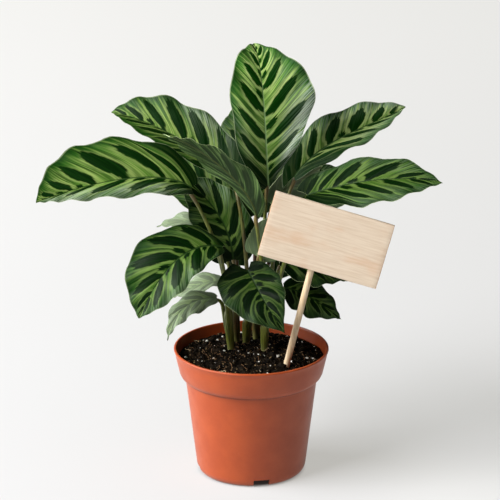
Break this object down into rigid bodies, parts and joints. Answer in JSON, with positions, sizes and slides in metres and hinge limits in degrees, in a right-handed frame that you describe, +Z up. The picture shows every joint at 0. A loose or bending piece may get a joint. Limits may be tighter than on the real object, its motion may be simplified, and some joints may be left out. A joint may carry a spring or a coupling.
{
  "type": "potted patterned-leaf calathea",
  "caption": "Potted calathea with broad patterned leaves on slender stems, in a tapered plastic nursery pot of soil with a bare wooden plant marker.",
  "frame": {"origin": "centre of the pot's underside, on the surface it stands on", "axes": "+Z up, +X to the right and +Y to the back as seen from the front of the plant"},
  "size_m": [0.308, 0.1822, 0.3352],
  "materials": {
    "pot": "moulded terracotta-coloured polypropylene, satin, with a thin bright lip and fine turning marks",
    "soil": "moist dark potting mix with crumbs, fibres and white perlite grains",
    "stem": "smooth green-brown petioles and sheaths with paler joints under the blades",
    "leaf": "satin living leaf, light green ground with dark green ovals along the side veins, paler grey-green underside",
    "board": "bare pale sawn wood with fine grain, unprinted",
    "stick": "bare pale round wooden stick with grain along it"
  },
  "bodies": {
    "root": {"pot": "pot", "soil": "soil", "shoot_left_front": "stem", "shoot_left_back": "stem", "shoot_middle": "stem", "shoot_right": "stem", "shoot_back": "stem", "leaf_top": "leaf", "leaf_left_long": "leaf", "leaf_left_upper": "leaf", "leaf_front_turned": "leaf", "leaf_centre": "leaf", "leaf_left_lower": "leaf", "leaf_left_pale": "leaf", "leaf_small_low": "leaf", "leaf_small_pale": "leaf", "leaf_front_hanging": "leaf", "leaf_right_low": "leaf", "leaf_right_behind": "leaf", "leaf_right_long": "leaf", "leaf_right_upper": "leaf", "leaf_right_turned": "leaf", "leaf_middle_turned": "leaf", "leaf_back_upper": "leaf", "leaf_back_left": "leaf", "leaf_back_right": "leaf", "leaf_back_low_left": "leaf", "leaf_back_low_right": "leaf", "marker_board": "board", "marker_stick": "stick"}
  },
  "joints": []
}
